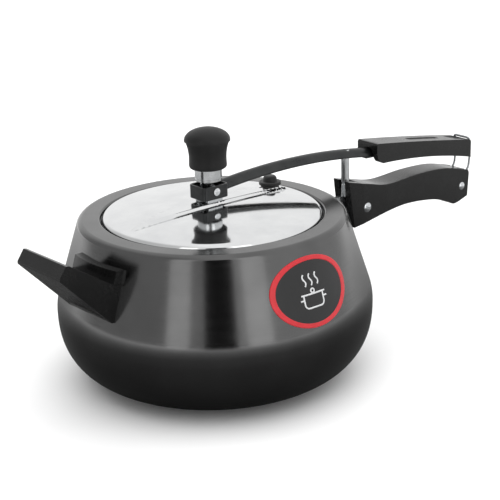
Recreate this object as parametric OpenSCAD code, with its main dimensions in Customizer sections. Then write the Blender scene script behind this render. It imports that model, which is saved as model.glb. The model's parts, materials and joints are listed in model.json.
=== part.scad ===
/* [Pot] */
// Largest outer radius of the pot, at the belly
pot_r = 118; // [113:1:142]
// Height of the belly above the base
belly_h = 56; // [45:1:70]
// Radius of the flat base
base_r = 56; // [45:1:75]
// Height of the rim above the base
rim_h = 124; // [115:1:150]
// Radius of the mouth
mouth_r = 82.6; // [81:0.1:88]
// Wall of the pot
wall = 3.2; // [2.5:0.1:4]
// Outline radius of the belly above its widest line
belly_round = 45; // [30:1:60]
// Lean of the upper wall from the vertical, in degrees
lean = 17.5; // [12:0.5:20]
// Outer radius of the shoulder
shoulder_round = 5; // [4:0.5:8]
// Fullness of the lower curve, 2 is an ellipse
fullness = 2.4; // [2:0.1:3]

/* [Badge] */
// Width of the oval badge
badge_w = 69; // [45:1:72]
// Height of the oval badge
badge_tall = 50; // [30:1:52]
// Height of the badge's centre
badge_h = 91.5; // [88:0.5:93]
// Thickness of the badge
badge_t = 0.8; // [0.4:0.1:2]

/* [Lid] */
// Gap between the raised lid wall and the mouth
lid_gap = 1.4; // [1.2:0.1:2.5]
// Sheet thickness of the lid
lid_t = 2; // [1.2:0.1:2.5]
// Crown radius of the lid
lid_crown_r = 480; // [350:10:700]
// Height of the crown above the rim
lid_rise = 8; // [6:0.5:12]
// Radius of the lid's shoulder
lid_round = 4; // [3:0.5:6]
// Height of the pressed ridge above the crown
ridge_h = 2; // [1:0.1:3]
// Half width of the pressed ridge
ridge_half = 10; // [7.7:0.1:12]
// Half length of the pressed ridge
ridge_len = 75; // [50:1:76]
// Width of the gasket ring
gasket_w = 7.5; // [5:0.5:9]
// Height of the gasket ring
gasket_t = 3.5; // [2:0.1:5]
// Width of the lip that holds the gasket in
lip_w = 1.6; // [1:0.1:2]
// Free play between the gasket and the rim
seal_gap = 0.3; // [0.2:0.1:1]

/* [Vent and regulator] */
// Place of the vent along the bar, from the pot's axis
vent_x = -2.5; // [-3:0.1:0]
// Outer radius of the vent tube
vent_r = 5; // [4:0.1:5.3]
// Radius of the steam bore
vent_bore_r = 1.2; // [0.8:0.1:2]
// Running gap between the vent tube and the weight
vent_fit = 0.15; // [0.1:0.05:0.3]
// Radius of the weight's collar
weight_r = 10; // [8:0.5:12]
// Height of the collar below the knob
collar_h = 9.6; // [5:0.1:12]
// Radius of the weight inside the knob
weight_core_r = 9; // [7:0.5:10]
// Lower radius of the knob
knob_low_r = 13.9; // [12:0.1:18]
// Largest radius of the knob
knob_r = 16.9; // [14:0.1:22]
// Height of the knob
knob_h = 30; // [28:0.5:40]
// Height of the knob's dome
dome_h = 9; // [6:0.5:12]
// Gap between the yoke and the collar
collar_gap = 2.5; // [2:0.1:4]

/* [Safety valve] */
// Distance of the valve from the lid's centre along the bar
valve_x = 66; // [45:1:67]
// Distance of the valve from the bar's centre line
valve_y = 11.5; // [11:0.5:14]
// Radius of the valve's flange
valve_r = 8.5; // [6:0.5:9]
// Height of the valve above the lid
valve_h = 9; // [6:0.5:11]
// Radius of the valve's threaded stem
valve_stem_r = 4; // [3:0.5:5]

/* [Lid bar] */
// Width of the bar
bar_w = 11; // [8:0.5:12]
// Height of the bar's section
bar_h = 6.6; // [6:0.1:9]
// Sheet thickness of the bar
bar_t = 1.6; // [1:0.1:2.5]
// Radius of the bar's long arch
arch_r = 540; // [400:10:800]
// Distance of the arch's top in front of the fulcrum post
arch_in = 66.4; // [50:0.1:80]
// Height of the arch above the rim
arch_h = 26.3; // [24:0.1:32]
// How far the bar reaches into the upper handle
bar_in = 37; // [30:1:41]
// Length of the yoke along the bar
yoke_len = 23.2; // [21:0.1:26]
// Outer width of the yoke
yoke_w = 19; // [18:0.5:24]
// Height of the yoke
yoke_h = 10; // [8:0.5:10]
// Radius of the pivot pins in the yoke
pivot_r = 2; // [1.5:0.1:2.5]
// Running gap of the pivot pins
pivot_fit = 0.05; // [0.02:0.01:0.1]

/* [Fulcrum] */
// Distance of the fulcrum post beyond the belly
post_out = 16.4; // [14:0.1:20]
// Radius of the fulcrum post
post_r = 3.25; // [2.5:0.05:3.5]
// Height of the fulcrum's centre below the rim
fulcrum_drop = 15.5; // [13:0.5:18]
// Running gap between the post's foot and its seat
seat_fit = 0.05; // [0.02:0.01:0.1]

/* [Upper handle] */
// Distance from the fulcrum post to the front end of the upper handle
upper_out = 24.6; // [22:0.1:27]
// Distance from the fulcrum post to the back end of both handles
handle_len = 135.1; // [128:0.1:145]
// Width of the upper handle
upper_w = 22.4; // [20:0.2:28]
// Side wall of the upper handle
upper_wall = 2.8; // [2:0.1:3.5]
// Top plate of the upper handle
upper_top = 3; // [2.5:0.1:4]

/* [Body handle] */
// Width of the body handle
grip_w = 21.6; // [20:0.2:28]
// Width over the two front ears
ear_w = 18; // [16:0.5:20]
// Width of the slot between the ears
slot_w = 7.2; // [7.1:0.1:9]
// Distance of the front screw behind the fulcrum post
screw_back = 14.6; // [13:0.1:17]
// Height of the front screw below the rim
screw_drop = 27; // [25:0.5:30]
// Radius of the handle screws
screw_r = 2.5; // [2:0.1:3]
// Thickness of the bracket's tongue
tongue_t = 4; // [3:0.1:5]
// Thickness of the bracket's foot plate
plate_t = 2.5; // [1.5:0.1:3]

/* [Locking loop] */
// Radius of the loop's wire
wire_r = 0.9; // [0.7:0.05:1.1]
// Half distance between the loop's legs
leg_y = 8; // [7.6:0.1:8.2]
// Distance of the loop's pin from the handles' back end
pin_back = 9.8; // [9:0.1:12]
// Height of the loop's pin below the rim
pin_drop = 32.2; // [30:0.1:34]
// Radius of the loop's pin
pin_r = 1.6; // [1.3:0.1:2]

/* [Helper handle] */
// Turn of the helper handle around the pot, in degrees
helper_turn = 1; // [0:1:8]
// How far the helper handle reaches beyond the belly
helper_len = 34.5; // [28:0.5:45]
// Width of the helper handle
helper_w = 52; // [40:1:60]
// Width of its mounting flange
flange_w = 50; // [42:1:62]
// Wall of the helper handle
helper_wall = 3.4; // [2.5:0.1:5]
// Radius of the helper handle's screw
helper_screw_r = 2.5; // [2:0.1:3]

/* [Hidden] */
$fn = 72;
far = 400;

// Places along the bar and the handles, from the pot's axis
post_x = pot_r + post_out;
screw_x = post_x + screw_back;
upper_x = post_x + upper_out;
handle_end = post_x + handle_len;
bar_end = upper_x + bar_in;
arch_x = post_x - arch_in;
helper_reach = pot_r + helper_len;

// Colours of the real finishes
anodised = "#55585b";
steel = "#d9dbdc";
dark_steel = "#6f7376";
plastic = "#242424";
rubber = "#1b1b1b";

// ---------- pot outline ----------
// The wall's outline is a superellipse from the base to the belly, an arc, a straight lean and
// a rounded shoulder. Each takes an inset, so the inside of the wall follows the outside.
arc_x = pot_r - belly_round;
cone_r0 = arc_x + belly_round * cos(lean);
cone_h0 = belly_h + belly_round * sin(lean);
function low_curve(i) = [for (t = [0:7.5:90])
    [base_r + (pot_r - base_r - i) * pow(sin(t), 2 / fullness),
     belly_h - (belly_h - i) * pow(cos(t), 2 / fullness)]];
function arc(cx, cz, r, a0, a1, n) = [for (k = [0:n])
    [cx + r * cos(a0 + (a1 - a0) * k / n), cz + r * sin(a0 + (a1 - a0) * k / n)]];
shoulder_run = (rim_h - shoulder_round - belly_h - (belly_round - shoulder_round) * sin(lean))
    / cos(lean);
shoulder_x = arc_x + (belly_round - shoulder_round) * cos(lean) - shoulder_run * sin(lean);
function wall_curve(i) = concat(low_curve(i),
    arc(arc_x, belly_h, belly_round - i, lean / 4, lean, 3),
    arc(shoulder_x, rim_h - shoulder_round, shoulder_round - i, lean, 90, 6));
function reversed(p) = [for (k = [len(p) - 1:-1:0]) p[k]];
// Radius of the leaning wall's outside at a height
function wall_at(z) = cone_r0 - (z - cone_h0) * tan(lean);

// Puts its children on the outside of the leaning wall, with +Z along the wall's outward normal
module on_wall(turn, z) {
    rotate([0, 0, turn])
        translate([wall_at(z), 0, z])
            rotate([0, 90 - lean, 0])
                children();
}

// A ring on the leaning wall, up to a thickness outside it. It starts inside the wall, and
// wall_core() trims it to the wall's outside
module wall_skin(t, z0, z1) {
    rotate_extrude()
        polygon([[wall_at(z0) - wall, z0], [wall_at(z0) + t, z0], [wall_at(z1) + t, z1],
                 [wall_at(z1) - wall, z1]]);
}

// Everything inside the leaning wall's outside
module wall_core() {
    rotate_extrude()
        polygon([[0, cone_h0 - 20], [wall_at(cone_h0 - 20), cone_h0 - 20],
                 [wall_at(rim_h), rim_h], [0, rim_h]]);
}

module pot_body() {
    color(anodised)
        difference() {
            rotate_extrude()
                polygon(concat([[0, 0]], wall_curve(0),
                    arc(mouth_r + wall / 2, rim_h - wall / 2, wall / 2, 90, 270, 6),
                    reversed(wall_curve(wall)), [[0, wall]]));
            rivet_holes();
        }
}

module label_badge() {
    color("#b5313a")
        difference() {
            intersection() {
                wall_skin(badge_t, badge_h - badge_tall / 2, badge_h + badge_tall / 2);
                on_wall(-90, badge_h)
                    translate([0, 0, -4 * wall])
                        linear_extrude(height = 6 * wall)
                            polygon([for (a = [0:6:354])
                                [badge_tall / 2 * cos(a), badge_w / 2 * sin(a)]]);
            }
            wall_core();
        }
}

// ---------- bracket of the long handle ----------
fulcrum_z = rim_h - fulcrum_drop;
screw_z = rim_h - screw_drop;
bracket_w = 30;
bracket_h0 = rim_h - 42;
bracket_h1 = rim_h - 13;
tongue_h0 = rim_h - 36;
tongue_end = screw_x + 19;
rivet_r = 2.5;
rivet_head_r = 4.5;
rivet_head_t = 1.6;
rivet_y = 10;
rivet_h = rim_h - 27.5;
bolt_fit = 0.1;

module handle_bracket() {
    color(steel)
        difference() {
            union() {
                intersection() {
                    wall_skin(plate_t, bracket_h0, bracket_h1);
                    translate([0, -bracket_w / 2, 0])
                        cube([far, bracket_w, far]);
                }
                translate([wall_at(fulcrum_z) - 3, -tongue_t / 2, tongue_h0])
                    cube([tongue_end - wall_at(fulcrum_z) + 3, tongue_t, fulcrum_z - tongue_h0]);
            }
            wall_core();
            translate([post_x, far / 2, fulcrum_z])
                rotate([90, 0, 0])
                    cylinder(r = post_r + seat_fit, h = far);
            translate([screw_x, far / 2, screw_z])
                rotate([90, 0, 0])
                    cylinder(r = screw_r + bolt_fit, h = far);
            for (s = [-1, 1])
                on_wall(rivet_turn(s), rivet_h)
                    translate([0, 0, -10])
                        cylinder(r = rivet_r, h = 20);
        }
}

function rivet_turn(s) = s * asin(rivet_y / wall_at(rivet_h));

// The inner head's flat face stands this far off the hollow of the wall
rivet_gap = 0.15;

// One rivet through the wall and a plate of the given thickness
module wall_rivet(plate) {
    inner = -wall - rivet_gap - rivet_head_t;
    translate([0, 0, inner])
        cylinder(r = rivet_head_r, h = rivet_head_t);
    translate([0, 0, inner + rivet_head_t / 2])
        cylinder(r = rivet_r, h = plate - inner);
    translate([0, 0, plate])
        cylinder(r = rivet_head_r, h = rivet_head_t);
}

module handle_rivets() {
    color(steel)
        for (s = [-1, 1])
            on_wall(rivet_turn(s), rivet_h)
                wall_rivet(plate_t);
}

module rivet_holes() {
    for (s = [-1, 1]) {
        on_wall(rivet_turn(s), rivet_h)
            translate([0, 0, -wall - 3])
                cylinder(r = rivet_r, h = wall + 6);
        on_wall(180 + helper_turn + helper_rivet_turn(s), helper_h)
            translate([0, 0, -wall - 3])
                cylinder(r = rivet_r, h = wall + 6);
    }
}

// ---------- body handle ----------
pin_x = handle_end - pin_back;
pin_z = rim_h - pin_drop;
grip_end = handle_end - 1;

// A smooth curve through a list of points, n steps between two of them
function spline_at(a, b, c, d, t) = 0.5 * (2 * b + (c - a) * t + (2 * a - 5 * b + 4 * c - d) * t * t
    + (3 * b - a - 3 * c + d) * t * t * t);
function spline(p, n) = concat([for (k = [0:len(p) - 2]) for (j = [0:n - 1])
    spline_at(p[max(k - 1, 0)], p[k], p[k + 1], p[min(k + 2, len(p) - 1)], j / n)],
    [p[len(p) - 1]]);

// Heights of the body handle's outline are taken below the rim
grip_front = post_x - 4.4;
grip_top = [[grip_front, -2.5], [grip_front + 20, -7.5], [grip_front + 43, -12.3],
            [grip_front + 78, -11], [handle_end - 30, -12.7], [grip_end - 1, -19.5]];
grip_bottom = [[grip_end - 1.5, -42], [handle_end - 18, -46], [handle_end - 27, -42.2],
               [handle_end - 45, -36.6], [grip_front + 67, -33.6], [grip_front + 44, -35],
               [grip_front + 5.5, -41.5]];
ear_slant = 15;

module side_extrude(w) {
    rotate([90, 0, 0])
        translate([0, 0, -w / 2])
            linear_extrude(height = w)
                children();
}

module body_handle() {
    slot_len = 14;
    loop_slot = eye_t + 2 * eye_gap;
    color(plastic)
        difference() {
            side_extrude(grip_w)
                translate([0, rim_h])
                    polygon(concat(spline(grip_top, 6), [[grip_end, -22]],
                        spline(grip_bottom, 6)));
            // the ears are narrower than the grip
            for (s = [-1, 1])
                translate([grip_front + ear_slant, s * grip_w / 2, 0])
                    rotate([0, 0, s * atan((grip_w - ear_w) / 2 / ear_slant)])
                        translate([-ear_slant * 2, s > 0 ? 0 : -10, 0])
                            cube([ear_slant * 2, 10, far]);
            // slot for the post, open to the front and the top
            translate([grip_front - 10, -slot_w / 2, fulcrum_z - post_r])
                cube([10 + slot_len, slot_w, far]);
            // slot for the bracket's tongue
            translate([grip_front - 10, -tongue_t / 2 - bolt_fit, tongue_h0 - 0.5])
                cube([tongue_end - grip_front + 10.5, tongue_t + 2 * bolt_fit,
                      fulcrum_z - tongue_h0 + 0.5 + bolt_fit]);
            translate([screw_x, far / 2, screw_z])
                rotate([90, 0, 0])
                    cylinder(r = screw_r + bolt_fit, h = far);
            // the nut's pocket on the far side
            translate([screw_x, far / 2, screw_z])
                rotate([90, 0, 0])
                    cylinder(r = nut_r + 0.3, h = far / 2 - grip_w / 2 + nut_t);
            translate([pin_x, far / 2, pin_z])
                rotate([90, 0, 0])
                    cylinder(r = pin_r, h = far);
            // two slots in which the loop's legs swing
            for (s = [-1, 1])
                translate([pin_x - 5, s * leg_y - loop_slot / 2, pin_z - 9])
                    cube([far, loop_slot, far]);
        }
}

nut_r = 4.5;
nut_t = 3;
head_r = 4;
head_t = 1.4;

// A domed screw head, its face at z = 0 and its crown upwards
module screw_head(r, t) {
    ball = (r * r + t * t) / (2 * t);
    rotate_extrude()
        polygon(concat([[0, 0]], [for (k = [0:4]) let (a = asin(r / ball) * (1 - k / 4))
            [ball * sin(a), ball * cos(a) - ball + t]]));
}

module handle_screw() {
    color(steel) {
        translate([screw_x, -grip_w / 2, screw_z])
            rotate([90, 0, 0])
                screw_head(head_r, head_t);
        translate([screw_x, grip_w / 2 - 0.5, screw_z])
            rotate([90, 0, 0])
                cylinder(r = screw_r, h = grip_w - 0.5);
    }
}

module handle_screw_nut() {
    color(steel)
        translate([screw_x, grip_w / 2 - nut_t, screw_z])
            rotate([-90, 0, 0])
                difference() {
                    cylinder(r = nut_r, h = nut_t, $fn = 6);
                    translate([0, 0, -1])
                        cylinder(r = screw_r, h = nut_t + 2);
                }
}

module loop_pin() {
    color(steel) {
        translate([pin_x, grip_w / 2, pin_z])
            rotate([90, 0, 0])
                cylinder(r = pin_r, h = grip_w);
        for (s = [-1, 1])
            translate([pin_x, s * grip_w / 2, pin_z])
                rotate([-s * 90, 0, 0])
                    screw_head(head_r - 0.6, head_t);
    }
}

// ---------- locking loop ----------
// Route of one leg, from the pin: across, then up
upper_rise = 39.9;
leg_route = [[0, 0], [4.5, 9], [10.5, 13.5], [11.9, 24], [11.9, 36.5], [9.6, upper_rise]];
eye_r = pin_r + 1.6;
eye_t = 2 * wire_r + 0.4;
eye_gap = 0.35;
knuckle_r = 1.06 * wire_r;

module wire(a, b) {
    d = b - a;
    translate(a)
        rotate([0, acos(d[2] / norm(d)), atan2(d[1], d[0])])
            cylinder(r = wire_r, h = norm(d), $fn = 24);
}

module locking_loop() {
    color(steel)
        translate([pin_x, 0, pin_z]) {
            for (s = [-1, 1]) {
                difference() {
                    union() {
                        translate([0, s * leg_y + eye_t / 2, 0])
                            rotate([90, 0, 0])
                                cylinder(r = eye_r, h = eye_t);
                        for (k = [0:len(leg_route) - 2]) {
                            a = leg_route[k];
                            b = leg_route[k + 1];
                            wire([a[0], s * leg_y, a[1]], [b[0], s * leg_y, b[1]]);
                        }
                        for (k = [1:len(leg_route) - 1])
                            translate([leg_route[k][0], s * leg_y, leg_route[k][1]])
                                sphere(r = knuckle_r, $fn = 24);
                    }
                    translate([0, far / 2, 0])
                        rotate([90, 0, 0])
                            cylinder(r = pin_r + pivot_fit, h = far);
                }
            }
            wire([leg_route[5][0], -leg_y, upper_rise], [leg_route[5][0], leg_y, upper_rise]);
        }
}

// ---------- helper handle ----------
helper_h = rim_h - 33;
helper_plate_w = 32;
boss_r = 5.5;
flange_t = 6;
boss_len = flange_t;
helper_plate_h = 20;
helper_head_r = boss_r + 1.5;
helper_head_t = 2.4;
flange_low = rim_h - 45;
flange_high = rim_h - 13;
helper_rivet_y = 11;
function helper_rivet_turn(s) = s * asin(helper_rivet_y / wall_at(helper_h));

module helper_bracket() {
    color(steel)
        difference() {
            union() {
                intersection() {
                    wall_skin(plate_t, helper_h - helper_plate_h / 2, helper_h + helper_plate_h / 2);
                    rotate([0, 0, helper_turn])
                        translate([-far, -helper_plate_w / 2, 0])
                            cube([far, helper_plate_w, far]);
                }
                on_wall(180 + helper_turn, helper_h)
                    cylinder(r = boss_r, h = boss_len);
            }
            on_wall(180 + helper_turn, helper_h)
                translate([0, 0, 0.5])
                    cylinder(r = helper_screw_r, h = 20);
            wall_core();
            for (s = [-1, 1])
                on_wall(180 + helper_turn + helper_rivet_turn(s), helper_h)
                    translate([0, 0, -10])
                        cylinder(r = rivet_r, h = 20);
        }
}

module helper_rivets() {
    color(steel)
        for (s = [-1, 1])
            on_wall(180 + helper_turn + helper_rivet_turn(s), helper_h)
                wall_rivet(plate_t);
}

// Side outline of the arm: distance from the pot's axis, height below the rim
helper_side = [[pot_r - 23, -22], [pot_r - 11, -23.5], [helper_reach - 8, 0.7], [helper_reach - 5.5, 1.2],
               [helper_reach, -6.5], [helper_reach, -8.5],
               [pot_r - 5, -49], [pot_r - 18, -49]];
hollow_side = [[wall_at(flange_high) + flange_t + 3, 5], [helper_reach - 13, 5],
               [helper_reach - 13, -17], [wall_at(flange_low) + flange_t + 1, -36]];

module helper_handle() {
    color(plastic)
        rotate([0, 0, 180 + helper_turn])
            difference() {
                union() {
                    intersection() {
                        wall_skin(flange_t, flange_low, flange_high);
                        translate([0, -flange_w / 2, 0])
                            cube([far, flange_w, far]);
                    }
                    side_extrude(helper_w)
                        translate([0, rim_h])
                            polygon(helper_side);
                }
                side_extrude(helper_w - 2 * helper_wall)
                    translate([0, rim_h])
                        polygon(hollow_side);
                wall_core();
                // pocket over the bracket and its rivets
                intersection() {
                    wall_skin(plate_t + rivet_head_t + 0.5, helper_h - helper_plate_h / 2 - 1,
                              helper_h + helper_plate_h / 2 + 1);
                    translate([0, -helper_plate_w / 2 - 1.5, 0])
                        cube([far, helper_plate_w + 3, far]);
                }
                // bore for the boss, and room for the screw's head
                on_wall(0, helper_h) {
                    cylinder(r = boss_r + bolt_fit, h = boss_len + 1);
                    translate([0, 0, boss_len])
                        cylinder(r = helper_head_r + 0.5, h = helper_head_t + 3);
                }
            }
}

module helper_screw() {
    color(steel)
        on_wall(180 + helper_turn, helper_h) {
            translate([0, 0, boss_len])
                screw_head(helper_head_r, helper_head_t);
            translate([0, 0, 0.5])
                cylinder(r = helper_screw_r, h = boss_len);
        }
}

// ---------- lid ----------
lid_top = rim_h + lid_rise;
lid_wall_r = mouth_r - lid_gap;
crown_z = lid_top - lid_crown_r;
fillet_x = lid_wall_r - lid_round;
fillet_z = crown_z + sqrt(pow(lid_crown_r - lid_round, 2) - fillet_x * fillet_x);
crown_a = asin(fillet_x / (lid_crown_r - lid_round));
seat_z = rim_h - wall - seal_gap - gasket_t;
gasket_r0 = lid_wall_r + 0.4;
gasket_r1 = gasket_r0 + gasket_w;
lid_r = gasket_r1 + 0.4 + lip_w;
function crown(r, n) = [for (k = [0:n]) let (a = crown_a * k / n)
    [(r) * sin(a), crown_z + r * cos(a)]];
ridge_top = lid_top + ridge_h;

module lid() {
    outside = concat(crown(lid_crown_r, 8), arc(fillet_x, fillet_z, lid_round, 90 - crown_a, 0, 6));
    inside = concat(arc(fillet_x, fillet_z, lid_round - lid_t, 0, 90 - crown_a, 6),
        reversed(crown(lid_crown_r - lid_t, 8)));
    lip_z = seat_z + gasket_t - 1.2;
    vesica_r = (ridge_len * ridge_len + ridge_half * ridge_half) / (2 * ridge_half);
    color(steel)
        difference() {
            union() {
                rotate_extrude()
                    polygon(concat(outside, [[lid_wall_r, seat_z], [lid_r - lip_w, seat_z],
                        [lid_r - lip_w, lip_z], [lid_r, lip_z], [lid_r, seat_z - lid_t],
                        [lid_wall_r - lid_t, seat_z - lid_t]], inside));
                intersection() {
                    rotate_extrude()
                        polygon(concat(crown(lid_crown_r + ridge_h, 8),
                            reversed(crown(lid_crown_r - lid_t / 2, 8))));
                    linear_extrude(height = far)
                        intersection() {
                            translate([0, vesica_r - ridge_half])
                                circle(r = vesica_r, $fn = 720);
                            translate([0, ridge_half - vesica_r])
                                circle(r = vesica_r, $fn = 720);
                        }
                }
            }
            translate([vent_x, 0, 0])
                cylinder(r = vent_r, h = far);
            translate([valve_x, valve_y, 0])
                cylinder(r = valve_stem_r, h = far);
        }
}

module lid_gasket() {
    round = 1;
    color(rubber)
        rotate_extrude()
            polygon(concat(
                arc(gasket_r1 - round, seat_z + gasket_t - round, round, 0, 90, 4),
                arc(gasket_r0 + round, seat_z + gasket_t - round, round, 90, 180, 4),
                [[gasket_r0, seat_z], [gasket_r1, seat_z]]));
}

// ---------- vent, bracket and pins ----------
pivot_z = rim_h + 18;
yoke_z = pivot_z - yoke_h / 2 - 0.5;
bracket_t = 1.5;
ear_t = 1.6;
ear_gap = 0.2;
ear_y = yoke_w / 2 - bar_t - ear_gap;
weight_z = yoke_z + yoke_h + collar_gap;
vent_top = weight_z + 4.5;
nozzle_r = 3.4;
nozzle_h = 6;
vent_low = lid_top - lid_t - 9;
vent_nut_t = 4;
vent_nut_r = 9;

module vent_tube() {
    color(steel)
        difference() {
            union() {
                translate([vent_x, 0, vent_low])
                    cylinder(r = vent_r, h = vent_top - vent_low);
                translate([vent_x, 0, vent_top - 1])
                    cylinder(r = nozzle_r, h = nozzle_h + 1);
                translate([vent_x, 0, ridge_top + bracket_t])
                    cylinder(r = vent_r + 0.6, h = 2);
            }
            translate([vent_x, 0, vent_low - 1])
                cylinder(r = vent_bore_r, h = far);
        }
}

module vent_nut() {
    color(steel)
        translate([vent_x, 0, lid_top - lid_t - vent_nut_t])
            difference() {
                cylinder(r = vent_nut_r, h = vent_nut_t - 0.1, $fn = 6);
                translate([0, 0, -1])
                    cylinder(r = vent_r, h = vent_nut_t + 2);
            }
}

module lid_bracket() {
    bracket_x = 6.5;
    color(steel)
        difference() {
            union() {
                translate([vent_x - bracket_x, -ear_y, ridge_top])
                    cube([2 * bracket_x, 2 * ear_y, bracket_t]);
                for (s = [-1, 1])
                    translate([vent_x, s * (ear_y - ear_t / 2), 0]) {
                        translate([-bracket_x, -ear_t / 2, ridge_top])
                            cube([2 * bracket_x, ear_t, pivot_z - ridge_top - 1]);
                        translate([0, ear_t / 2, pivot_z])
                            rotate([90, 0, 0])
                                cylinder(r = 4, h = ear_t);
                    }
            }
            translate([vent_x, 0, ridge_top - 1])
                cylinder(r = vent_r, h = bracket_t + 2);
            translate([vent_x, far / 2, pivot_z])
                rotate([90, 0, 0])
                    cylinder(r = pivot_r, h = far);
        }
}

module bar_pivot_pins() {
    color(steel)
        for (s = [-1, 1])
            translate([vent_x, s * (ear_y - ear_t), pivot_z])
                rotate([-s * 90, 0, 0]) {
                    cylinder(r = pivot_r, h = ear_t + ear_gap + bar_t + 0.4);
                    translate([0, 0, ear_t + ear_gap + bar_t + 0.3])
                        screw_head(pivot_r + 1, 0.8);
                }
}

// ---------- lid bar ----------
arch_top = rim_h + arch_h;
bar_start = vent_x + yoke_len / 2 - bar_t / 2;
end_a = asin((bar_end - arch_x) / arch_r);
start_a = asin((arch_x - bar_start) / arch_r);

bar_steps = 36;
// Height of the bar's crown at a distance from the axis
function crown_at(x) = arch_top - arch_r + sqrt(arch_r * arch_r - pow(x - arch_x, 2));
// A point on the bar's side, at a turn from the top of the arch and a depth below the crown
function bar_point(a, depth) = [arch_x + (arch_r - depth) * sin(a),
    arch_top - arch_r + (arch_r - depth) * cos(a)];
// Side outline of the bar between two depths, longer by some degrees at each end
function bar_side(d0, d1, more) =
    let (a0 = -start_a - more, step = (start_a + end_a + 2 * more) / bar_steps)
        concat([for (k = [0:bar_steps]) bar_point(a0 + k * step, d0)],
            [for (k = [bar_steps:-1:0]) bar_point(a0 + k * step, d1)]);

module lid_bar() {
    color(dark_steel)
        difference() {
            union() {
                difference() {
                    side_extrude(bar_w)
                        polygon(bar_side(0, bar_h, 0));
                    side_extrude(bar_w - 2 * bar_t)
                        polygon(bar_side(bar_t, bar_h + 1, 0.5));
                }
                difference() {
                    translate([vent_x - yoke_len / 2, -yoke_w / 2, yoke_z])
                        cube([yoke_len, yoke_w, yoke_h]);
                    translate([vent_x - yoke_len / 2 + bar_t, -yoke_w / 2 + bar_t, yoke_z - 1])
                        cube([yoke_len - 2 * bar_t, yoke_w - 2 * bar_t, yoke_h + 2]);
                }
            }
            translate([vent_x, far / 2, pivot_z])
                rotate([90, 0, 0])
                    cylinder(r = pivot_r + pivot_fit, h = far);
            upper_screw_place()
                translate([0, 0, -2 * bar_h])
                    cylinder(r = upper_screw_r + bolt_fit, h = 4 * bar_h);
            translate([post_x, 0, fulcrum_z])
                cylinder(r = post_r, h = far / 2, $fn = 48);
        }
}

module fulcrum_post() {
    color(steel)
        translate([post_x, 0, fulcrum_z]) {
            sphere(r = post_r, $fn = 48);
            cylinder(r = post_r, h = crown_at(post_x) - fulcrum_z - 0.6, $fn = 48);
        }
}

// ---------- upper handle ----------
upper_screw_r = 2;
upper_screw_x = upper_x + 21;
upper_head_r = 3;
upper_head_t = 1.6;
// How far the screw bites into the handle's boss
upper_bite = 3;
// Depth below the crown of the screw's head, just under the channel's roof
upper_head_drop = bar_t + 0.05;

// Puts its children on the bar's crown at the handle's screw, with +Z square to the crown
module upper_screw_place() {
    turn = asin((upper_screw_x - arch_x) / arch_r);
    translate([arch_x, 0, arch_top - arch_r])
        rotate([0, turn, 0])
            translate([0, 0, arch_r])
                children();
}

// Heights of the upper handle's outline at a distance from the axis
function upper_top_at(x) = rim_h + 23.6 - 0.13 * (x - upper_x) - 0.00022 * pow(x - upper_x, 2);
function upper_low_at(x) = rim_h + 6.4 - 0.03 * (x - upper_x - 6) - 0.00108 * pow(x - upper_x - 6, 2);
end_round = 1.6;
upper_outline = concat(
    [for (k = [0:10]) let (x = upper_x + 0.8 + (handle_end - upper_x - end_round - 0.8) * k / 10)
        [x, upper_top_at(x)]],
    arc(handle_end - end_round, upper_top_at(handle_end - end_round) - end_round - 0.1,
        end_round, 80, 0, 3),
    [for (k = [10:-1:0]) let (x = upper_x + 7 + (handle_end - upper_x - 7) * k / 10)
        [x, upper_low_at(x)]],
    [[upper_x + 3.5, upper_low_at(upper_x + 7) + 1.6], [upper_x + 1, upper_low_at(upper_x + 7) + 5],
     [upper_x, upper_low_at(upper_x + 7) + 9], [upper_x, upper_top_at(upper_x) - 0.8]]);

module upper_handle() {
    back_wall = 3;
    n = 10;
    color(plastic)
        difference() {
            union() {
                difference() {
                    side_extrude(upper_w)
                        polygon(upper_outline);
                    // the channel inside, open below
                    side_extrude(upper_w - 2 * upper_wall)
                        polygon(concat(
                            [for (k = [0:n])
                                let (x = upper_x + 4 + (handle_end - back_wall - upper_x - 4) * k / n)
                                [x, upper_top_at(x) - upper_top]],
                            [[handle_end - back_wall, rim_h - 30], [upper_x + 4, rim_h - 30]]));
                }
                // boss over the bar's screw
                intersection() {
                    upper_screw_place()
                        cylinder(r = 5, h = 12);
                    side_extrude(upper_w - 1)
                        polygon(upper_outline);
                }
            }
            // opening in the front wall for the bar
            translate([upper_x - 5, -bar_w / 2 - 0.5, rim_h - 5])
                cube([12, bar_w + 1, crown_at(upper_x) + 0.5 - rim_h + 5]);
            upper_screw_place()
                cylinder(r = upper_screw_r, h = upper_bite);
            // long recess in the top face
            translate([upper_x + 45, -3.2, upper_top_at(upper_x + 66) - 1])
                rotate([0, atan(0.15), 0])
                    cube([36, 6.4, 20]);
            // shallow seat for the loop
            translate([handle_end - 16, -leg_y + 2, upper_top_at(handle_end - 8) - 0.2])
                rotate([0, atan(0.17), 0])
                    cube([10, 2 * leg_y - 4, 20]);
        }
}

module upper_handle_screw() {
    color(steel)
        upper_screw_place() {
            translate([0, 0, -upper_head_drop - upper_head_t])
                cylinder(r = upper_head_r, h = upper_head_t);
            translate([0, 0, -upper_head_drop - upper_head_t / 2])
                cylinder(r = upper_screw_r, h = upper_head_drop + upper_head_t / 2 + upper_bite);
        }
}

// ---------- regulator ----------
knob_z = weight_z + collar_h;
core_h = 23;

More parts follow.
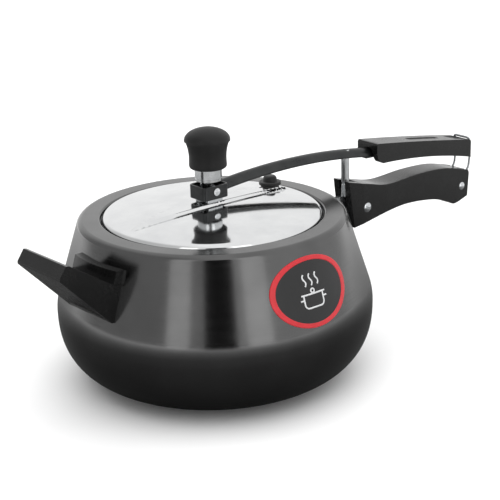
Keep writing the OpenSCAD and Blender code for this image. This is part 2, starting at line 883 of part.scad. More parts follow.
module regulator_weight() {
    color(steel)
        difference() {
            union() {
                translate([vent_x, 0, weight_z])
                    cylinder(r = weight_r, h = collar_h);
                translate([vent_x, 0, knob_z - 0.5])
                    cylinder(r = weight_core_r, h = core_h + 0.5);
            }
            translate([vent_x, 0, weight_z - 1])
                cylinder(r = vent_r + vent_fit, h = vent_top - weight_z + 1.3);
            translate([vent_x, 0, weight_z - 1])
                cylinder(r = nozzle_r + vent_fit, h = vent_top + nozzle_h - weight_z + 1.4);
            translate([vent_x, 0, weight_z + 1.2])
                cylinder(r = clip_r + clip_wire + 0.2, h = 2 * clip_wire + 0.2);
        }
}

clip_wire = 0.6;
clip_r = vent_r + vent_fit + clip_wire;

module regulator_clip() {
    color(steel)
        translate([vent_x, 0, weight_z + 1.3 + clip_wire])
            rotate_extrude()
                translate([clip_r, 0])
                    circle(r = clip_wire, $fn = 24);
}

module regulator_knob() {
    widest = knob_h - dome_h;
    ball = (knob_r * knob_r + dome_h * dome_h) / (2 * dome_h);
    edge = 2;
    flare = spline([[knob_low_r, edge], [knob_low_r + 0.2, widest * 0.45],
                    [knob_low_r + (knob_r - knob_low_r) * 0.45, widest * 0.78],
                    [knob_r, widest - 0.5]], 5);
    dome = [for (k = [0:7]) let (a = 62 * (1 - k / 7)) [knob_r * sin(a) / sin(62),
        widest + dome_h * (cos(a) - cos(62)) / (1 - cos(62))]];
    color(plastic)
        translate([vent_x, 0, knob_z])
            difference() {
                rotate_extrude()
                    polygon(concat([[0, 0]], [[knob_low_r - edge, 0], [knob_low_r - 0.5, 0.6]],
                        flare, dome));
                translate([0, 0, -1])
                    cylinder(r = weight_core_r, h = core_h + 1);
            }
}

// ---------- safety valve ----------
valve_z = crown_z + sqrt(lid_crown_r * lid_crown_r - valve_x * valve_x - valve_y * valve_y);
seal_t = 1.5;
valve_nut_t = 3.5;
plug_r = 2;
valve_stem_len = valve_nut_t + lid_t + seal_t + 2;

module safety_valve() {
    color(rubber)
        translate([valve_x, valve_y, valve_z + seal_t])
            difference() {
                union() {
                    cylinder(r = valve_r, h = valve_h * 0.33);
                    rotate_extrude()
                        polygon(concat([[0, 0], [valve_r * 0.68, 0]],
                            arc(valve_r * 0.28, valve_h * 0.84 - valve_r * 0.4, valve_r * 0.4, 0, 90, 5),
                            [[0, valve_h * 0.84]]));
                    translate([0, 0, -valve_stem_len])
                        cylinder(r = valve_stem_r, h = valve_stem_len + 1);
                }
                translate([0, 0, -valve_stem_len - 1])
                    cylinder(r = plug_r, h = valve_stem_len + 4);
            }
}

module fusible_plug() {
    color("#b9b3a4")
        translate([valve_x, valve_y, valve_z + seal_t - valve_stem_len + 0.5])
            cylinder(r = plug_r, h = valve_stem_len + 2);
}

module safety_valve_seal() {
    color(rubber)
        difference() {
            translate([valve_x, valve_y, valve_z - 0.8])
                cylinder(r = valve_r - 1.5, h = seal_t + 0.8);
            translate([valve_x, valve_y, 0])
                cylinder(r = valve_stem_r, h = far);
            rotate_extrude()
                polygon(concat([[0, 0]], [[0, lid_top]], crown(lid_crown_r, 8), [[60, 0]]));
        }
}

module safety_valve_nut() {
    color(steel)
        translate([valve_x, valve_y, valve_z - lid_t - valve_nut_t - 1.4])
            difference() {
                cylinder(r = 7.5, h = valve_nut_t, $fn = 6);
                translate([0, 0, -1])
                    cylinder(r = valve_stem_r, h = valve_nut_t + 2);
            }
}

pot_body();
label_badge();
handle_bracket();
handle_rivets();
body_handle();
handle_screw();
handle_screw_nut();
loop_pin();
locking_loop();
helper_bracket();
helper_rivets();
helper_handle();
helper_screw();
lid();
lid_gasket();
vent_tube();
vent_nut();
lid_bracket();
bar_pivot_pins();
lid_bar();
upper_handle();
upper_handle_screw();
fulcrum_post();
regulator_weight();
regulator_knob();
regulator_clip();
safety_valve();
fusible_plug();
safety_valve_seal();
safety_valve_nut();
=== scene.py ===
import json
import math

import bpy
from mathutils import Matrix, Vector

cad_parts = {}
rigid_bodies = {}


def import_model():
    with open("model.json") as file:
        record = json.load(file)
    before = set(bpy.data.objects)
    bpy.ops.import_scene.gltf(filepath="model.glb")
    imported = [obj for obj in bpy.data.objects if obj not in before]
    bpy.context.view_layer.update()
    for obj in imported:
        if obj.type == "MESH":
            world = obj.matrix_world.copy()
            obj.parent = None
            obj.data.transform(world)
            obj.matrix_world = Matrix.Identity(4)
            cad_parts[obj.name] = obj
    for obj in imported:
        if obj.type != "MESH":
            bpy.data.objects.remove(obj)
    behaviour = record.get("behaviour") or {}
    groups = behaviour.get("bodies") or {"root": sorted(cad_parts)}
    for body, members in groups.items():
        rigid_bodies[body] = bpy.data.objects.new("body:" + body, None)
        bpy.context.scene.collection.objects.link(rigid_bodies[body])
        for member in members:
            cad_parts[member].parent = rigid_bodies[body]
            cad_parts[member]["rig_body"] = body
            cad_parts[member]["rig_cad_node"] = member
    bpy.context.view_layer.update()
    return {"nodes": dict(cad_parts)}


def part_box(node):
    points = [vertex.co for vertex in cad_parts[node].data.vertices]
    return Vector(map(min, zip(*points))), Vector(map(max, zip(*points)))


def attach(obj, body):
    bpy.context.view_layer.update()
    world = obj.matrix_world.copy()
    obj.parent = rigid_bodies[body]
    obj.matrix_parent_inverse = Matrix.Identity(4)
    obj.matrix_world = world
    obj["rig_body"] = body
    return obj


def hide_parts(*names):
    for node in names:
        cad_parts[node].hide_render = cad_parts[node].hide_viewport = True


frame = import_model()

MM = 0.001
DOUBLES = 0.002 * MM

# ---------- sizes, in millimetres, taken from the frame where a node gives them ----------


def low(node_name):
    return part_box(node_name)[0] / MM


def high(node_name):
    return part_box(node_name)[1] / MM


RIM = high("pot_body").z
POT_R = high("pot_body").x
BELLY = 56
BASE_R = 56
MOUTH_R = 82.6
WALL = 3.2
BELLY_ROUND = 45
LEAN = 17.5
SHOULDER = 5
FULLNESS = 2.4

LID_TOP = RIM + 8
LID_R = MOUTH_R - 1.4
LID_T = 2
LIP_T = 1.6
GASKET_T = 3.5
GASKET_W = 7.5
SEAT_GAP = 0.3
SIDE_GAP = 0.4
CROWN_R = 480
LID_ROUND = 4
RIDGE_H = 2
RIDGE_HALF = 10
RIDGE_LEN = 75

ARCH_R = 540
ARCH_X = 68
ARCH_TOP = RIM + 26.3
BAR_W = 11
BAR_H = 6.6
SHEET = 1.6

PIVOT_Z = RIM + 18
YOKE_LEN = 23.2
YOKE_W = 19
YOKE_H = 10
YOKE_LOW = PIVOT_Z - YOKE_H / 2 - 0.5
POST_X = (low("fulcrum_post").x + high("fulcrum_post").x) / 2
POST_R = (high("fulcrum_post").x - low("fulcrum_post").x) / 2

UPPER_X = low("upper_handle").x
HANDLE_END = high("upper_handle").x
UPPER_W = 2 * high("upper_handle").y
GRIP_W = 2 * high("body_handle").y
GRIP_X = low("body_handle").x
GRIP_END = high("body_handle").x
SCREW = Vector((149, 0, RIM - 27))
PIN = Vector((HANDLE_END - 9.8, 0, RIM - 32.2))
LOOP_LEG_Y = 8

COLLAR_BORE = 5.15
COLLAR_Z = low("regulator_weight").z
COLLAR_R = high("regulator_weight").y
VENT_X = (low("vent_tube").x + high("vent_tube").x) / 2
KNOB_Z = low("regulator_knob").z
KNOB_TOP = high("regulator_knob").z
KNOB_R = high("regulator_knob").y

VALVE_LOW, VALVE_HIGH = low("safety_valve"), high("safety_valve")
VALVE = Vector(((VALVE_LOW.x + VALVE_HIGH.x) / 2, (VALVE_LOW.y + VALVE_HIGH.y) / 2, 0))
VALVE_R = (VALVE_HIGH.x - VALVE_LOW.x) / 2

HELPER_TURN = 1
HELPER_REACH = 152.5
HELPER_W = 52
FLANGE_W = 50
FLANGE_T = 6
HELPER_WALL = 3.4

BADGE_W = 69
BADGE_TALL = 50
BADGE_H = 91.5


# ---------- curves ----------


def arc(cx, cz, r, a0, a1, n):
    """n + 1 points on an arc, from angle a0 to a1 in degrees."""
    turns = [math.radians(a0 + (a1 - a0) * k / n) for k in range(n + 1)]
    return [(cx + r * math.cos(a), cz + r * math.sin(a)) for a in turns]


def spline(points, n):
    """A smooth curve through all the points, with n steps between two of them."""
    made = []
    last = len(points) - 1
    for k in range(last):
        a, b = points[max(k - 1, 0)], points[k]
        c, d = points[k + 1], points[min(k + 2, last)]
        for j in range(n):
            t = j / n
            made.append(tuple(
                0.5 * (2 * q + (r - p) * t + (2 * p - 5 * q + 4 * r - s) * t * t
                       + (3 * q - p - 3 * r + s) * t ** 3)
                for p, q, r, s in zip(a, b, c, d)))
    return made + [tuple(points[-1])]


def rounded(points, r, n=6):
    """The same route with each inner corner turned into a curve that starts r before it."""
    route = [Vector(p) for p in points]
    made = [route[0]]
    for before, corner, after in zip(route, route[1:], route[2:]):
        near = corner + (before - corner).normalized() * min(r, (before - corner).length * 0.45)
        away = corner + (after - corner).normalized() * min(r, (after - corner).length * 0.45)
        for k in range(n + 1):
            t = k / n
            made.append(near * (1 - t) ** 2 + corner * 2 * t * (1 - t) + away * t * t)
    return made + [route[-1]]


def outer_wall(z):
    """Outer radius of the pot's leaning wall at a height."""
    start = POT_R - BELLY_ROUND + BELLY_ROUND * math.cos(math.radians(LEAN))
    above = z - BELLY - BELLY_ROUND * math.sin(math.radians(LEAN))
    return start - above * math.tan(math.radians(LEAN))


def wall_curve(inset, steps):
    """Outline of the pot's wall from the base to the rim, moved inwards by the inset."""
    lean = math.radians(LEAN)
    lower = []
    for k in range(steps + 1):
        t = math.radians(90 * k / steps)
        lower.append((BASE_R + (POT_R - BASE_R - inset) * math.sin(t) ** (2 / FULLNESS),
                      BELLY - (BELLY - inset) * math.cos(t) ** (2 / FULLNESS)))
    run = (RIM - SHOULDER - BELLY - (BELLY_ROUND - SHOULDER) * math.sin(lean)) / math.cos(lean)
    shoulder_x = (POT_R - BELLY_ROUND + (BELLY_ROUND - SHOULDER) * math.cos(lean)
                  - run * math.sin(lean))
    belly = arc(POT_R - BELLY_ROUND, BELLY, BELLY_ROUND - inset, LEAN / 8, LEAN, 7)
    shoulder = arc(shoulder_x, RIM - SHOULDER, SHOULDER - inset, LEAN, 90, 9)
    middle = [tuple(a + (b - a) * t for a, b in zip(belly[-1], shoulder[0])) for t in (0.25, 0.5, 0.75)]
    return lower + belly + middle + shoulder


def crown_at(x):
    """Height of the bar's crown at a distance from the axis."""
    return ARCH_TOP - ARCH_R + math.sqrt(ARCH_R ** 2 - (x - ARCH_X) ** 2)


# ---------- modelling by hand ----------


def put_down():
    """Leaves edit mode and deselects everything."""
    if bpy.context.object and bpy.context.object.mode != "OBJECT":
        bpy.ops.object.mode_set(mode="OBJECT")
    bpy.ops.object.select_all(action="DESELECT")


def pick(obj):
    put_down()
    obj.select_set(True)
    bpy.context.view_layer.objects.active = obj


def settle(name):
    """Names the active object and moves its place, turn and size into its mesh."""
    obj = bpy.context.object
    if obj.mode != "OBJECT":
        bpy.ops.object.mode_set(mode="OBJECT")
    obj.name = name
    obj.data.name = name
    bpy.ops.object.transform_apply(location=True, rotation=True, scale=True)
    return obj


def chain(points):
    """A chain of edges through the points in millimetres, drawn one step at a time, left in edit mode."""
    route = [Vector(p) * MM for p in points]
    put_down()
    bpy.ops.mesh.primitive_plane_add(size=MM, location=route[0])
    bpy.ops.object.mode_set(mode="EDIT")
    bpy.ops.mesh.select_mode(type="VERT")
    bpy.ops.mesh.merge(type="CENTER")
    for a, b in zip(route, route[1:]):
        bpy.ops.mesh.extrude_region_move(TRANSFORM_OT_translate={"value": b - a})
    bpy.ops.mesh.select_all(action="SELECT")


def fill(points):
    """A flat face inside a closed route of points, left in edit mode."""
    chain(points + points[:1])
    bpy.ops.mesh.remove_doubles(threshold=DOUBLES)
    bpy.ops.mesh.select_all(action="SELECT")
    bpy.ops.mesh.edge_face_add()


def clean():
    """Merges doubles and turns all faces outwards, in edit mode."""
    bpy.ops.mesh.select_all(action="SELECT")
    bpy.ops.mesh.remove_doubles(threshold=DOUBLES)
    bpy.ops.mesh.normals_make_consistent(inside=False)


def lathe(name, profile, steps=128, closed=False, angle=360):
    """Spins a profile of (radius, height) points round the Z axis."""
    points = [(r, 0, z) for r, z in profile]
    chain(points + points[:1] if closed else points)
    bpy.ops.mesh.spin(steps=steps, angle=math.radians(angle), center=(0, 0, 0), axis=(0, 0, 1))
    clean()
    return settle(name)


def plate(name, outline, width):
    """A closed outline of (x, z) points, made a slab of that width across the Y axis."""
    fill([(x, -width / 2, z) for x, z in outline])
    bpy.ops.mesh.extrude_region_move(TRANSFORM_OT_translate={"value": (0, width * MM, 0)})
    clean()
    return settle(name)


def block(lowest, highest, turn=0.0):
    """A box between two corners, turned about Y by that many degrees, to cut with."""
    centre = [(a + b) / 2 * MM for a, b in zip(lowest, highest)]
    put_down()
    bpy.ops.mesh.primitive_cube_add(size=1, location=centre, rotation=(0, math.radians(turn), 0))
    bpy.context.object.scale = [(b - a) * MM for a, b in zip(lowest, highest)]
    return settle("cutter")


def rod(centre, r, length, axis="Y", steps=64):
    """A cylinder on an axis, to cut with."""
    turn = {"X": (0, math.pi / 2, 0), "Y": (math.pi / 2, 0, 0), "Z": (0, 0, 0)}[axis]
    put_down()
    bpy.ops.mesh.primitive_cylinder_add(vertices=steps, radius=r * MM, depth=length * MM,
                                        location=Vector(centre) * MM, rotation=turn)
    return settle("cutter")


def combine(obj, other, operation="DIFFERENCE"):
    """Cuts, joins or intersects one piece with another, which is used up."""
    pick(obj)
    change = obj.modifiers.new(operation.lower(), "BOOLEAN")
    change.operation = operation
    change.solver = "EXACT"
    change.object = other
    bpy.ops.object.modifier_apply(modifier=change.name)
    bpy.data.objects.remove(other)
    return obj


def soften(obj, width, segments=3, angle=35):
    """Rounds a piece's sharp edges."""
    pick(obj)
    edge = obj.modifiers.new("edge", "BEVEL")
    edge.width = width * MM
    edge.segments = segments
    edge.limit_method = "ANGLE"
    edge.angle_limit = math.radians(angle)
    bpy.ops.object.modifier_apply(modifier=edge.name)
    return obj


def smooth(obj, angle=32):
    """Smooth shading, with the large faces keeping their own direction."""
    pick(obj)
    bpy.ops.object.shade_smooth_by_angle(angle=math.radians(angle))
    even = obj.modifiers.new("even", "WEIGHTED_NORMAL")
    even.keep_sharp = True
    bpy.ops.object.modifier_apply(modifier=even.name)
    return obj


def wire(name, points, r, sides=4):
    """A round wire along a route, with closed ends."""
    chain(points)
    bpy.ops.object.mode_set(mode="OBJECT")
    bpy.ops.object.convert(target="CURVE")
    curve = bpy.context.object
    curve.data.bevel_depth = r * MM
    curve.data.bevel_resolution = sides
    curve.data.use_fill_caps = True
    bpy.ops.object.convert(target="MESH")
    bpy.ops.object.mode_set(mode="EDIT")
    clean()
    return settle(name)


def join(name, *objs):
    """Several meshes made one piece."""
    pick(objs[0])
    for obj in objs[1:]:
        obj.select_set(True)
    bpy.ops.object.join()
    objs[0].name = name
    objs[0].data.name = name
    return objs[0]


def shift(obj, x=0.0, y=0.0, z=0.0, turn=(0, 0, 0)):
    """Turns a piece about the origin, in degrees, then moves it, in millimetres."""
    pick(obj)
    obj.rotation_euler = [math.radians(a) for a in turn]
    obj.location = Vector((x, y, z)) * MM
    bpy.ops.object.transform_apply(location=True, rotation=True, scale=True)
    return obj


def merged(node_name, edge=0.0):
    """A copy of a CAD node with its loose triangles joined and its edges eased."""
    copy = frame["nodes"][node_name].copy()
    copy.data = copy.data.copy()
    bpy.context.scene.collection.objects.link(copy)
    copy.parent = None
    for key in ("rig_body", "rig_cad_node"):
        if key in copy:
            del copy[key]
    copy.name = node_name + "_piece"
    copy.data.name = copy.name
    copy.data.materials.clear()
    pick(copy)
    bpy.ops.object.mode_set(mode="EDIT")
    bpy.ops.mesh.select_all(action="SELECT")
    bpy.ops.mesh.remove_doubles(threshold=DOUBLES)
    bpy.ops.mesh.tris_convert_to_quads(face_threshold=0.02, shape_threshold=0.02)
    bpy.ops.object.mode_set(mode="OBJECT")
    if edge:
        soften(copy, edge, 2, 50)
    return smooth(copy, 40)


def done(obj, body, slot, *nodes):
    """Hands a finished piece to its body and hides the nodes it stands for. The slot argument is not used.
    """
    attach(obj, body)
    if nodes:
        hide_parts(*nodes)
    return obj


# ---------- materials ----------


def linear(hex_colour):
    """An sRGB hex colour as linear RGBA."""
    parts = [int(hex_colour[k:k + 2], 16) / 255 for k in (1, 3, 5)]
    return [c / 12.92 if c <= 0.04045 else ((c + 0.055) / 1.055) ** 2.4 for c in parts] + [1]


def add(tree, kind, inputs, **settings):
    """Adds a node, sets its properties, and gives its inputs a value or another node's output."""
    made = tree.nodes.new(kind)
    for key, value in settings.items():
        setattr(made, key, value)
    for key, value in inputs.items():
        if isinstance(value, bpy.types.NodeSocket):
            tree.links.new(value, made.inputs[key])
        else:
            made.inputs[key].default_value = value
    return made


def ramp(node_made, *stops):
    """Sets a colour ramp's stops: (place, grey) or (place, colour)."""
    elements = node_made.color_ramp.elements
    while len(elements) < len(stops):
        elements.new(0.5)
    for element, (place, value) in zip(elements, stops):
        element.position = place
        element.color = linear(value) if isinstance(value, str) else (value, value, value, 1)
    return node_made


def new_material(name):
    """A material with an empty tree that ends in a Principled shader."""
    material = bpy.data.materials.new(name)
    material.use_nodes = True
    tree = material.node_tree
    tree.nodes.clear()
    shader = add(tree, "ShaderNodeBsdfPrincipled", {})
    add(tree, "ShaderNodeOutputMaterial", {"Surface": shader.outputs["BSDF"]})
    place = add(tree, "ShaderNodeTexCoord", {}).outputs["Object"]
    return material, tree, shader, place


def paint(obj, *materials):
    obj.data.materials.clear()
    for material in materials:
        obj.data.materials.append(material)
    return obj


def surface(name, dark, light, rough, grain, bump, stretch=(1, 1, 1), metal=0.0, mottle=30.0, **fixed):
    """A finish with cloudy colour variation, a fine grain in roughness and bump, and rubbed patches.
    rough is (lowest, highest), grain and mottle are sizes in millimetres, stretch lengthens the grain."""
    material, tree, shader, place = new_material(name)
    clouds = add(tree, "ShaderNodeTexNoise", {"Vector": place, "Scale": 1 / (mottle * MM), "Detail": 4})
    tint = ramp(add(tree, "ShaderNodeValToRGB", {"Fac": clouds.outputs["Fac"]}), (0.3, dark), (0.7, light))
    along = add(tree, "ShaderNodeMapping", {"Vector": place, "Scale": stretch})
    fine = add(tree, "ShaderNodeTexNoise", {"Vector": along.outputs["Vector"], "Scale": 1 / (grain * MM),
                                            "Detail": 3})
    mixed = add(tree, "ShaderNodeMath", {0: clouds.outputs["Fac"], 1: fine.outputs["Fac"]},
                operation="MULTIPLY")
    gloss = add(tree, "ShaderNodeMapRange", {"Value": mixed.outputs["Value"], "From Min": 0.12,
                                             "From Max": 0.42, "To Min": rough[0], "To Max": rough[1]})
    relief = add(tree, "ShaderNodeBump", {"Height": fine.outputs["Fac"], "Strength": bump,
                                          "Distance": 0.05 * MM})
    tree.links.new(tint.outputs["Color"], shader.inputs["Base Color"])
    tree.links.new(gloss.outputs["Result"], shader.inputs["Roughness"])
    tree.links.new(relief.outputs["Normal"], shader.inputs["Normal"])
    shader.inputs["Metallic"].default_value = metal
    for key, value in fixed.items():
        shader.inputs[key.replace("_", " ")].default_value = value
    return material


def anodised_aluminium():
    """Hard-anodised aluminium, spun and then dyed: fine turned lines under a dark satin oxide skin,
    a little cloudier where the dye took unevenly, and rubbed bright round the foot."""
    material, tree, shader, place = new_material("hard_anodised_aluminium")
    split = add(tree, "ShaderNodeSeparateXYZ", {"Vector": place})
    clouds = add(tree, "ShaderNodeTexNoise", {"Vector": place, "Scale": 1 / (28 * MM), "Detail": 5})
    # turned lines are about 0.2 mm apart, drawn at 0.9 mm so that they show
    rings = add(tree, "ShaderNodeMapping", {"Vector": place, "Scale": (0.02, 0.02, 1)})
    lines = add(tree, "ShaderNodeTexNoise", {"Vector": rings.outputs["Vector"], "Scale": 1 / (0.9 * MM),
                                             "Detail": 2})
    speck = add(tree, "ShaderNodeTexNoise", {"Vector": place, "Scale": 1 / (0.8 * MM), "Detail": 2})
    tint = ramp(add(tree, "ShaderNodeValToRGB", {"Fac": clouds.outputs["Fac"]}),
                (0.3, "#606060"), (0.72, "#696969"))
    foot = add(tree, "ShaderNodeMapRange", {"Value": split.outputs["Z"], "From Min": 0.4 * MM,
                                            "From Max": 5 * MM, "To Min": 0.6, "To Max": 0.0})
    rubbed = add(tree, "ShaderNodeMath", {0: foot.outputs["Result"], 1: speck.outputs["Fac"]},
                 operation="MULTIPLY")
    colour = add(tree, "ShaderNodeMix", {"Factor": rubbed.outputs["Value"], "A": tint.outputs["Color"],
                                         "B": linear("#b4b6b8")}, data_type="RGBA")
    gloss = add(tree, "ShaderNodeMapRange", {"Value": lines.outputs["Fac"], "From Min": 0.3,
                                             "From Max": 0.7, "To Min": 0.13, "To Max": 0.19})
    height = add(tree, "ShaderNodeMath", {0: lines.outputs["Fac"], 1: speck.outputs["Fac"]},
                 operation="ADD")
    relief = add(tree, "ShaderNodeBump", {"Height": height.outputs["Value"], "Strength": 0.05,
                                          "Distance": 0.03 * MM})
    tree.links.new(colour.outputs["Result"], shader.inputs["Base Color"])
    tree.links.new(gloss.outputs["Result"], shader.inputs["Roughness"])
    tree.links.new(relief.outputs["Normal"], shader.inputs["Normal"])
    shader.inputs["Metallic"].default_value = 1.0
    return material


anodised = anodised_aluminium()
# Stainless steel, pressed and buffed to a mirror: faint buffing marks and wiping haze
mirror_steel = surface("polished_stainless_steel", "#d9dadb", "#e6e7e7", (0.05, 0.13), 0.7, 0.03,
                       metal=1.0, mottle=22)
# Stainless sheet, folded and tumbled dark: satin, with a grain along the bar
satin_steel = surface("satin_steel_sheet", "#3b3c3d", "#474848", (0.26, 0.38), 0.5, 0.12,
                      stretch=(0.06, 1, 1), metal=1.0, mottle=14)
# Free-cutting steel, turned and plated: bright, with fine rings from the tool
turned_steel = surface("turned_plated_steel", "#c4c6c7", "#d8dadb", (0.10, 0.20), 0.35, 0.10,
                       stretch=(0.1, 0.1, 1), metal=1.0, mottle=6)
# Zinc-plated steel fasteners: bright with a soft bloom
zinc_steel = surface("zinc_plated_steel", "#bfc2c4", "#dcdee0", (0.12, 0.26), 0.5, 0.06,
                     metal=1.0, mottle=4)
# Hard-drawn steel wire of the loop: drawn bright, then dulled by handling
wire_steel = surface("hard_drawn_steel_wire", "#8f9294", "#a9acae", (0.22, 0.34), 0.4, 0.05,
                     metal=1.0, mottle=5)
# Brushed stainless fittings that hold the handles
brushed_steel = surface("brushed_stainless_steel", "#b9bcbe", "#cfd1d3", (0.2, 0.32), 0.4, 0.10,
                        stretch=(1, 1, 0.05), metal=1.0, mottle=10)
# Phenolic moulding, glossy from a polished mould: black, faintly cloudy, with handling haze
gloss_phenolic = surface("gloss_phenolic", "#0c0c0c", "#121212", (0.20, 0.32), 0.6, 0.05, mottle=18,
                         Coat_Weight=0.05, Coat_Roughness=0.14, Specular_IOR_Level=0.34)
# Phenolic moulding from a blasted mould: matte black with a fine grain
matte_phenolic = surface("matte_phenolic", "#0a0a0a", "#101010", (0.42, 0.58), 0.45, 0.22, mottle=9,
                         Specular_IOR_Level=0.34)
# Silicone rubber: soft black, slightly dusty
rubber = surface("silicone_rubber", "#151515", "#202020", (0.5, 0.68), 0.6, 0.16, mottle=6,
                 Sheen_Weight=0.12)
# Grey silicone of the sealing ring: smooth and a little waxy
seal_rubber = surface("moulded_seal_silicone", "#3a3b3c", "#4a4b4c", (0.4, 0.55), 0.8, 0.08, mottle=12,
                      Coat_Weight=0.1)
# Low-melting alloy of the plug: dull and grainy, as cast
cast_alloy = surface("cast_fusible_alloy", "#a59f90", "#bdb7a8", (0.35, 0.5), 0.5, 0.25,
                     metal=1.0, mottle=3)
# Enamel ink printed on foil: red ring
red_enamel = surface("red_printed_enamel", "#b4141f", "#c21c28", (0.3, 0.42), 0.4, 0.05, mottle=7,
                     Coat_Weight=0.1, Coat_Roughness=0.25)
# The same ink in black, in the badge's middle
black_enamel = surface("black_printed_enamel", "#0e0e0f", "#151516", (0.34, 0.46), 0.4, 0.05, mottle=7,
                       Coat_Weight=0.05, Coat_Roughness=0.3)
# Bare foil that shows through as the badge's drawing
bare_foil = surface("bare_badge_foil", "#d2d3d4", "#e4e5e6", (0.3, 0.42), 0.4, 0.05, metal=0.6, mottle=5)
# Black duvetyn of the flag: matte and slightly napped
black_cloth = surface("black_duvetyn", "#060606", "#090909", (0.9, 1.0), 2.0, 0.05, mottle=50)


def painted_shade_finish():
    """Painted shade for the floor that the pot mirrors: grey, dark in the middle under the pot and paler
    towards its rim, with a slight nap.
    """
    material, tree, shader, place = new_material("painted_floor_shade")
    away = add(tree, "ShaderNodeVectorMath", {0: place}, operation="LENGTH")
    share = add(tree, "ShaderNodeMapRange", {"Value": away.outputs["Value"], "From Min": 0.2,
                                             "From Max": 1.0, "To Min": 0.0, "To Max": 1.0})
    # painted shade: darkest at the middle, where the pot stands, fading out towards the rim
    tint = ramp(add(tree, "ShaderNodeValToRGB", {"Fac": share.outputs["Result"]}),
                (0.0, "#4a4a4a"), (1.0, "#e6e6e6"))
    nap = add(tree, "ShaderNodeTexNoise", {"Vector": place, "Scale": 1 / (2 * MM), "Detail": 2})
    relief = add(tree, "ShaderNodeBump", {"Height": nap.outputs["Fac"], "Strength": 0.05,
                                          "Distance": 0.1 * MM})
    tree.links.new(tint.outputs["Color"], shader.inputs["Base Color"])
    tree.links.new(relief.outputs["Normal"], shader.inputs["Normal"])
    shader.inputs["Roughness"].default_value = 0.9
    return material


# ---------- pieces on the pot ----------


def make_pot():
    outside = wall_curve(0, 28)
    lip = arc(MOUTH_R + WALL / 2, RIM - WALL / 2, WALL / 2, 90, 270, 10)
    inside = list(reversed(wall_curve(WALL, 20)))
    # a shallow ring is turned in the base, so the pot stands on its rim
    foot = [(0, 0.8), (BASE_R - 12, 0.8), (BASE_R - 10.5, 0.2), (BASE_R - 9, 0)]
    pot = lathe("pot_shell", foot + outside + lip + inside + [(0, WALL)], 192)
    smooth(pot, 35)
    paint(pot, anodised)
    done(pot, "pot", "anodised_body", "pot_body")


def on_wall(u, v, h, turn):
    """A point u round the leaning wall, v up it and h outside it, from a badge's centre."""
    lean = math.radians(LEAN)
    r = outer_wall(BADGE_H) - v * math.sin(lean)
    a = math.radians(turn) + u / r
    r += h * math.cos(lean)
    return Vector((r * math.cos(a), r * math.sin(a), BADGE_H + v * math.cos(lean) + h * math.sin(lean)))


def wrap(obj, turn=-90):
    """Lays a flat piece, drawn in X and Y with its height in Z, on the pot's leaning wall.
    No operator bends a mesh round a cone, so its vertices are moved here one by one."""
    for vertex in obj.data.vertices:
        x, y, z = vertex.co / MM
        vertex.co = on_wall(x, y, z, turn) * MM
    return obj


def make_badge():
    ring = 3
    face_h = 0.42
    half = BADGE_TALL / 2
    inner = half - ring
    top = [(inner * k / 6, face_h) for k in range(6)] + [(inner - 0.25, face_h), (inner + 0.1, 0.72)]
    edge = [(half - 0.5, 0.78), (half - 0.1, 0.55), (half, 0.2), (half, -0.3)]
    back = [(inner * k / 4, -0.3) for k in (4, 3, 2, 1, 0)]
    badge = lathe("badge", top + edge + back, 120)
    paint(badge, black_enamel, red_enamel)
    for face in badge.data.polygons:
        middle = face.center / MM
        if math.hypot(middle.x, middle.y) > inner - 0.4:
            face.material_index = 1
    pick(badge)
    badge.scale.x = BADGE_W / BADGE_TALL
    bpy.ops.object.transform_apply(scale=True)
    smooth(wrap(badge), 30)
    done(badge, "pot", "badge_foil", "label_badge")

    # a plain drawing of a steaming pot, in raised lines of bare foil
    line_r = 0.62

    def stroke(points):
        drawn = wire("stroke", [(x, y, 0) for x, y in points], line_r)
        pick(drawn)
        drawn.scale.z = 0.35
        bpy.ops.object.transform_apply(scale=True)
        return shift(drawn, z=face_h)

    side, foot, brim, ear_y, corner = 8.5, -11.0, -1.5, -5, 3
    body = [(-side, brim), (-side, foot + corner)]
    body += arc(-side + corner, foot + corner, corner, 180, 270, 5) + [(0, foot)]
    body += arc(side - corner, foot + corner, corner, 270, 360, 5) + [(side, brim)]
    strokes = [stroke(body), stroke([(x, brim) for x in (-10.5, -7, -3.5, 0, 3.5, 7, 10.5)]),
               stroke([(-side, ear_y), (-side - 3.2, ear_y)]), stroke([(side, ear_y), (side + 3.2, ear_y)]),
               stroke(arc(0, 0.6, 1.5, 0, 360, 14))]
    for x in (-5.5, 0, 5.5):
        strokes.append(stroke([(x + 1.1 * math.sin(k * 0.62), 4.2 + 0.85 * k) for k in range(11)]))
    drawing = wrap(join("badge_drawing", *strokes))
    smooth(drawing, 50)
    paint(drawing, bare_foil)
    done(drawing, "pot", "badge_foil", "label_badge")


def grip_outline():
    """Side outline of the body handle: its top from the pot outwards, then its underside back."""
    front, end = GRIP_X, GRIP_END
    top = [(front, -2.5), (front + 20, -7.5), (front + 43, -12.3), (front + 78, -11),
           (HANDLE_END - 30, -12.7), (end - 1, -19.5)]
    bottom = [(end - 1.5, -42), (HANDLE_END - 18, -46), (HANDLE_END - 27, -42.2), (HANDLE_END - 45, -36.6),
              (front + 67, -33.6), (front + 44, -35), (front + 5.5, -41.5)]
    return [(x, RIM + z) for x, z in spline(top, 8) + [(end, -22)] + spline(bottom, 8)]


